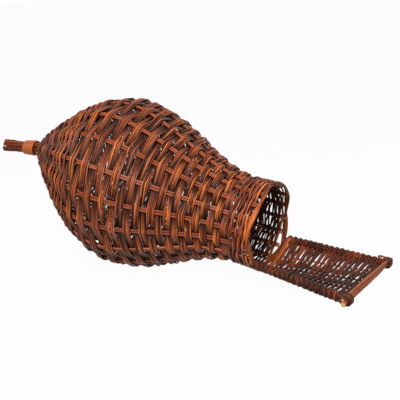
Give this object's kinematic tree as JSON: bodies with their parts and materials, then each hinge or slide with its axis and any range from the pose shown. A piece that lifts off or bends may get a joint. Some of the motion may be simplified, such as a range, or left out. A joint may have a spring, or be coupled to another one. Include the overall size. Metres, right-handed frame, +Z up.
{
  "type": "wicker nesting basket",
  "caption": "Bottle-shaped wicker nesting basket with a bound tail of rods, an open mouth with a rolled border and a woven landing platform.",
  "frame": {"origin": "centre of the bounding box, on the ground under the basket as it rests on its belly and platform end", "axes": "+X towards the mouth and the free end of the platform, +Z up, +Y to the basket's left seen from behind"},
  "size_m": [0.8098, 0.3314, 0.3356],
  "materials": {
    "willow_weave": "stained willow rods, satin bark",
    "willow_stake": "stained willow stakes, satin bark",
    "border_willow": "lighter stained willow, satin",
    "binding_willow": "split willow binding, smooth satin",
    "tail_willow": "dark rod ends, matte",
    "end_bar_willow": "smooth tan bar, satin"
  },
  "bodies": {
    "root": {"stake_pair_01": "willow_stake", "stake_pair_02": "willow_stake", "stake_pair_03": "willow_stake", "stake_pair_04": "willow_stake", "stake_pair_05": "willow_stake", "stake_pair_06": "willow_stake", "stake_pair_07": "willow_stake", "stake_pair_08": "willow_stake", "stake_pair_09": "willow_stake", "stake_pair_10": "willow_stake", "stake_pair_11": "willow_stake", "stake_pair_12": "willow_stake", "stake_pair_13": "willow_stake", "stake_pair_14": "willow_stake", "stake_pair_15": "willow_stake", "stake_pair_16": "willow_stake", "stake_pair_17": "willow_stake", "stake_pair_18": "willow_stake", "weave_round_01": "willow_weave", "weave_round_02": "willow_weave", "weave_round_03": "willow_weave", "weave_round_04": "willow_weave", "weave_round_05": "willow_weave", "weave_round_06": "willow_weave", "weave_round_07": "willow_weave", "weave_round_08": "willow_weave", "weave_round_09": "willow_weave", "weave_round_10": "willow_weave", "weave_round_11": "willow_weave", "weave_round_12": "willow_weave", "weave_round_13": "willow_weave", "weave_round_14": "willow_weave", "weave_round_15": "willow_weave", "weave_round_16": "willow_weave", "weave_round_17": "willow_weave", "weave_round_18": "willow_weave", "weave_round_19": "willow_weave", "weave_round_20": "willow_weave", "weave_round_21": "willow_weave", "weave_round_22": "willow_weave", "weave_round_23": "willow_weave", "weave_round_24": "willow_weave", "weave_round_25": "willow_weave", "weave_round_26": "willow_weave", "weave_round_27": "willow_weave", "weave_round_28": "willow_weave", "weave_round_29": "willow_weave", "weave_round_30": "willow_weave", "tail_close_weave": "willow_weave", "tail_collar": "willow_weave", "mouth_border": "border_willow", "tail_bundle": "tail_willow", "tail_binding": "binding_willow", "platform_side_rod_near": "willow_stake", "platform_side_rod_far": "willow_stake", "platform_inner_rod_1": "willow_stake", "platform_inner_rod_2": "willow_stake", "platform_inner_rod_3": "willow_stake", "platform_end_bar": "end_bar_willow", "platform_weaver": "willow_weave"}
  },
  "joints": []
}
